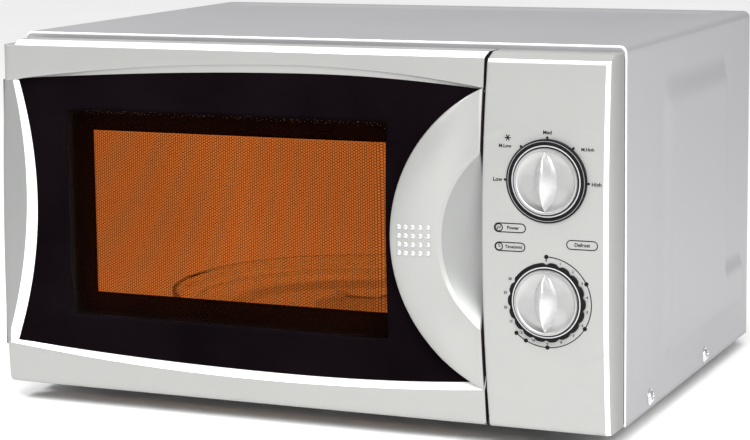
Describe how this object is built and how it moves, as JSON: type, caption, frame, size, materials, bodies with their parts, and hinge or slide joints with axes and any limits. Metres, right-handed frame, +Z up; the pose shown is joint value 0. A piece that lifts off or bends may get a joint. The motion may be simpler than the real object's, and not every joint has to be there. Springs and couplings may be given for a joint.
{
  "type": "microwave oven",
  "caption": "Countertop microwave oven with a side-hung windowed door, crescent grip, two turn knobs, glass turntable and separate internal parts.",
  "frame": {"origin": "middle of the footprint, on the surface the feet stand on", "axes": "+Z up, +X to the right seen from the front, the door and the knobs face -Y"},
  "size_m": [0.443, 0.365, 0.258],
  "materials": {
    "cover_paint": "satin silver paint",
    "galvanised": "galvanised sheet",
    "rubber": "matte",
    "screw_steel": "bright zinc",
    "black_plastic": "matte",
    "plate_paint": "grey paint",
    "cavity_paint": "light powder coat",
    "mica": "pressed mica sheet",
    "aluminium": "plain sheet",
    "copper": "enamelled wire",
    "lamination": "varnished iron sheets",
    "lamp_glass": "clear",
    "white_plastic": "moulded",
    "duct_plastic": "moulded",
    "plate_glass": "clear moulded glass",
    "board_green": "solder mask",
    "silver_plastic": "silver lacquer",
    "knob_silver": "silver lacquer",
    "dial_black": "printed ring",
    "window_black": "gloss black print",
    "window_glass": "smoked clear pane",
    "screen_paint": "dark baked paint",
    "choke_plastic": "moulded",
    "print_ink": "printed ink",
    "switch_red": "moulded",
    "spring_steel": "wire"
  },
  "bodies": {
    "cabinet": {"outer_cover": "cover_paint", "rear_panel": "cover_paint", "base_plate": "galvanised", "feet": "rubber", "cover_screws": "screw_steel", "cord_bushing": "black_plastic", "front_plate": "plate_paint", "cavity": "cavity_paint", "waveguide": "galvanised", "waveguide_cover": "mica", "magnetron_yoke": "galvanised", "magnetron_anode": "copper", "magnetron_fins": "aluminium", "magnetron_filter_box": "galvanised", "transformer_core": "lamination", "transformer_primary": "copper", "transformer_secondary": "copper", "capacitor": "aluminium", "capacitor_clamp": "galvanised", "hv_diode": "black_plastic", "fan_shroud": "black_plastic", "fan_motor": "lamination", "air_duct": "duct_plastic", "lamp_bulb": "lamp_glass", "lamp_socket": "white_plastic", "turntable_motor": "galvanised", "filter_board": "board_green", "thermal_cutout": "black_plastic", "control_panel": "silver_plastic", "power_dial": "dial_black", "timer_dial": "dial_black", "timer_housing": "duct_plastic", "timer_motor": "galvanised", "latch_bracket": "white_plastic", "switch_primary": "black_plastic", "switch_secondary": "black_plastic", "switch_monitor": "black_plastic", "hinge_brackets": "galvanised"},
    "door": {"door_frame": "silver_plastic", "door_handle": "silver_plastic", "door_window": "window_black", "door_screen": "screen_paint", "door_choke_cover": "choke_plastic", "latch_spring": "spring_steel"},
    "latch": {"door_latch": "white_plastic"},
    "power_knob": {"power_knob": "knob_silver", "power_shaft": "white_plastic"},
    "timer_knob": {"timer_knob": "knob_silver", "timer_shaft": "white_plastic"},
    "turntable": {"turntable_coupler": "white_plastic", "glass_plate": "plate_glass"},
    "roller_ring": {"roller_ring": "white_plastic"},
    "roller_1": {"roller_1": "white_plastic"},
    "roller_2": {"roller_2": "white_plastic"},
    "roller_3": {"roller_3": "white_plastic"},
    "fan": {"fan_blade": "black_plastic"},
    "plunger_primary": {"plunger_primary": "switch_red"},
    "plunger_secondary": {"plunger_secondary": "switch_red"},
    "plunger_monitor": {"plunger_monitor": "switch_red"}
  },
  "joints": [
    {"name": "door_hinge", "type": "hinge", "parent": "cabinet", "child": "door", "pos_m": [-0.208, -0.146, 0.134], "axis": [0, 0, -1], "range_deg": [0, 95]},
    {"name": "latch_slide", "type": "slide", "parent": "door", "child": "latch", "axis": [0, 0, 1], "range_m": [0, 0.003], "stiffness_N_per_m": 400, "springref_m": -0.001, "deforming": ["latch_spring"]},
    {"name": "power_select", "type": "hinge", "parent": "cabinet", "child": "power_knob", "pos_m": [0.18, -0.175, 0.1755], "axis": [0, 1, 0], "range_deg": [-90, 90]},
    {"name": "timer_turn", "type": "hinge", "parent": "cabinet", "child": "timer_knob", "pos_m": [0.18, -0.175, 0.0985], "axis": [0, 1, 0], "range_deg": [0, 300]},
    {"name": "turntable_spin", "type": "hinge", "parent": "cabinet", "child": "turntable", "pos_m": [-0.041, 0.01175, 0.05], "axis": [0, 0, 1], "continuous": true},
    {"name": "roller_ring_spin", "type": "hinge", "parent": "cabinet", "child": "roller_ring", "pos_m": [-0.041, 0.01175, 0.043], "axis": [0, 0, 1], "continuous": true},
    {"name": "roller_1_spin", "type": "hinge", "parent": "roller_ring", "child": "roller_1", "pos_m": [-0.041, 0.10075, 0.043], "axis": [0, 1, 0], "continuous": true},
    {"name": "roller_2_spin", "type": "hinge", "parent": "roller_ring", "child": "roller_2", "pos_m": [-0.11808, -0.03275, 0.043], "axis": [-0.866, -0.5, 0], "continuous": true},
    {"name": "roller_3_spin", "type": "hinge", "parent": "roller_ring", "child": "roller_3", "pos_m": [0.03608, -0.03275, 0.043], "axis": [0.866, -0.5, 0], "continuous": true},
    {"name": "fan_spin", "type": "hinge", "parent": "cabinet", "child": "fan", "pos_m": [0.165, 0.138, 0.172], "axis": [0, 1, 0], "continuous": true},
    {"name": "plunger_primary_press", "type": "slide", "parent": "cabinet", "child": "plunger_primary", "axis": [0, 1, 0], "range_m": [0, 0.0015], "stiffness_N_per_m": 300, "springref_m": -0.001},
    {"name": "plunger_secondary_press", "type": "slide", "parent": "cabinet", "child": "plunger_secondary", "axis": [0, 1, 0], "range_m": [0, 0.0015], "stiffness_N_per_m": 300, "springref_m": -0.001},
    {"name": "plunger_monitor_press", "type": "slide", "parent": "cabinet", "child": "plunger_monitor", "axis": [0, 1, 0], "range_m": [0, 0.0015], "stiffness_N_per_m": 300, "springref_m": -0.001}
  ],
  "couplings": [
    {"joint": "roller_ring_spin", "follows": "turntable_spin", "ratio": 0.5},
    {"joint": "roller_1_spin", "follows": "turntable_spin", "ratio": -6.6418},
    {"joint": "roller_2_spin", "follows": "turntable_spin", "ratio": -6.6418},
    {"joint": "roller_3_spin", "follows": "turntable_spin", "ratio": -6.6418}
  ]
}
